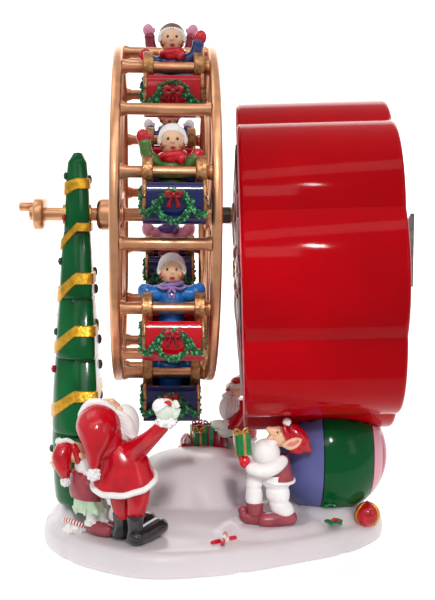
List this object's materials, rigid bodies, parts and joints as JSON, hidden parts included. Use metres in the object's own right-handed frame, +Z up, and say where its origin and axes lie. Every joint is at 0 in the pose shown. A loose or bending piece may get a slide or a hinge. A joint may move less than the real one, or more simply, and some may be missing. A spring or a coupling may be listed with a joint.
{
  "type": "musical ferris wheel",
  "caption": "Wind-up musical wheel with hanging sleigh gondolas, turning between a tree post and a flower-shaped music housing on a snow base with figures.",
  "frame": {"origin": "on the underside of the base, straight below the middle of the wheel and of its axle", "axes": "+X along the axle from the crank towards the music housing, -Y towards the front of the base, +Z up"},
  "size_m": [0.2375, 0.2184, 0.3082],
  "materials": {
    "wheel_gold": "polished copper-gold plating",
    "dark_steel": "dark oxidised",
    "movement_brass": "machined",
    "movement_steel": "machined",
    "key_metal": "dull nickel grey",
    "housing_red": "high gloss lacquer over cast resin",
    "relief_red": "gloss lacquer over cast resin",
    "tree_green": "high gloss lacquer over cast resin",
    "snow_white": "satin glazed cast resin",
    "pad_felt": "felt",
    "ball_violet": "satin and gloss lacquer",
    "sleigh_red": "high gloss lacquer over cast resin",
    "sleigh_navy": "high gloss lacquer over cast resin",
    "santa_red": "gloss lacquer over cast resin",
    "elf_red": "satin lacquer over cast resin",
    "elf_white": "satin lacquer over cast resin",
    "gift_green": "gloss lacquer over cast resin"
  },
  "bodies": {
    "base": {"snow_base": "snow_white", "base_pad": "pad_felt", "tree_post": "tree_green", "tree_bushing": "movement_brass", "housing_shell": "housing_red", "housing_cover": "housing_red", "housing_flower_relief": "relief_red", "housing_bushing": "movement_brass", "ball_pedestal": "ball_violet", "small_bauble": "santa_red", "santa_front": "santa_red", "santa_back": "santa_red", "elf_left": "elf_red", "elf_right": "elf_white", "gift_sled": "gift_green", "movement_plate": "movement_steel", "music_comb": "movement_steel", "cover_screw_1": "movement_steel", "cover_screw_2": "movement_steel", "cover_screw_3": "movement_steel", "cover_screw_4": "movement_steel"},
    "wheel": {"axle": "wheel_gold", "axle_pinion": "movement_brass", "axle_spacer": "dark_steel", "rim_left": "wheel_gold", "rim_right": "wheel_gold", "hub_boss": "wheel_gold", "crank_arm": "wheel_gold", "crank_handle_pin": "wheel_gold", "crank_screw": "wheel_gold", "rung_01": "wheel_gold", "rung_02": "wheel_gold", "rung_03": "wheel_gold", "rung_04": "wheel_gold", "rung_05": "wheel_gold", "rung_06": "wheel_gold", "rung_07": "wheel_gold", "rung_08": "wheel_gold", "rung_09": "wheel_gold", "rung_10": "wheel_gold", "rung_11": "wheel_gold", "rung_12": "wheel_gold", "rung_13": "wheel_gold", "rung_14": "wheel_gold", "rung_15": "wheel_gold", "rung_16": "wheel_gold"},
    "gondola_1": {"gondola_1": "sleigh_red"},
    "gondola_2": {"gondola_2": "sleigh_navy"},
    "gondola_3": {"gondola_3": "sleigh_red"},
    "gondola_4": {"gondola_4": "sleigh_navy"},
    "gondola_5": {"gondola_5": "sleigh_red"},
    "gondola_6": {"gondola_6": "sleigh_navy"},
    "gondola_7": {"gondola_7": "sleigh_red"},
    "gondola_8": {"gondola_8": "sleigh_navy"},
    "barrel": {"spring_barrel": "movement_brass"},
    "cylinder": {"music_cylinder": "movement_brass"},
    "governor": {"governor_fly": "movement_steel"},
    "key": {"winding_key": "key_metal"}
  },
  "joints": [
    {"name": "wheel_spin", "type": "hinge", "parent": "base", "child": "wheel", "pos_m": [0, 0, 0.1926], "axis": [1, 0, 0], "continuous": true},
    {"name": "gondola_1_swing", "type": "hinge", "parent": "wheel", "child": "gondola_1", "pos_m": [0.0043, -0.04864, 0.27292], "axis": [1, 0, 0], "continuous": true},
    {"name": "gondola_2_swing", "type": "hinge", "parent": "wheel", "child": "gondola_2", "pos_m": [0.0043, -0.09119, 0.215], "axis": [1, 0, 0], "continuous": true},
    {"name": "gondola_3_swing", "type": "hinge", "parent": "wheel", "child": "gondola_3", "pos_m": [0.0043, -0.08032, 0.14396], "axis": [1, 0, 0], "continuous": true},
    {"name": "gondola_4_swing", "type": "hinge", "parent": "wheel", "child": "gondola_4", "pos_m": [0.0043, -0.0224, 0.10141], "axis": [1, 0, 0], "continuous": true},
    {"name": "gondola_5_swing", "type": "hinge", "parent": "wheel", "child": "gondola_5", "pos_m": [0.0043, 0.04864, 0.11228], "axis": [1, 0, 0], "continuous": true},
    {"name": "gondola_6_swing", "type": "hinge", "parent": "wheel", "child": "gondola_6", "pos_m": [0.0043, 0.09119, 0.1702], "axis": [1, 0, 0], "continuous": true},
    {"name": "gondola_7_swing", "type": "hinge", "parent": "wheel", "child": "gondola_7", "pos_m": [0.0043, 0.08032, 0.24124], "axis": [1, 0, 0], "continuous": true},
    {"name": "gondola_8_swing", "type": "hinge", "parent": "wheel", "child": "gondola_8", "pos_m": [0.0043, 0.0224, 0.28379], "axis": [1, 0, 0], "continuous": true},
    {"name": "barrel_spin", "type": "hinge", "parent": "base", "child": "barrel", "pos_m": [0.1, 0, 0.1726], "axis": [1, 0, 0], "continuous": true},
    {"name": "cylinder_spin", "type": "hinge", "parent": "base", "child": "cylinder", "pos_m": [0.09, 0.01414, 0.15846], "axis": [1, 0, 0], "continuous": true},
    {"name": "governor_spin", "type": "hinge", "parent": "base", "child": "governor", "pos_m": [0.07, 0.02758, 0.14502], "axis": [1, 0, 0], "continuous": true},
    {"name": "key_wind", "type": "hinge", "parent": "base", "child": "key", "pos_m": [0.1405, 0, 0.1726], "axis": [1, 0, 0], "continuous": true}
  ],
  "couplings": [
    {"joint": "gondola_1_swing", "follows": "wheel_spin", "ratio": -1},
    {"joint": "gondola_2_swing", "follows": "wheel_spin", "ratio": -1},
    {"joint": "gondola_3_swing", "follows": "wheel_spin", "ratio": -1},
    {"joint": "gondola_4_swing", "follows": "wheel_spin", "ratio": -1},
    {"joint": "gondola_5_swing", "follows": "wheel_spin", "ratio": -1},
    {"joint": "gondola_6_swing", "follows": "wheel_spin", "ratio": -1},
    {"joint": "gondola_7_swing", "follows": "wheel_spin", "ratio": -1},
    {"joint": "gondola_8_swing", "follows": "wheel_spin", "ratio": -1},
    {"joint": "barrel_spin", "follows": "wheel_spin", "ratio": -0.53846},
    {"joint": "cylinder_spin", "follows": "wheel_spin", "ratio": 1},
    {"joint": "governor_spin", "follows": "wheel_spin", "ratio": -2.8}
  ]
}
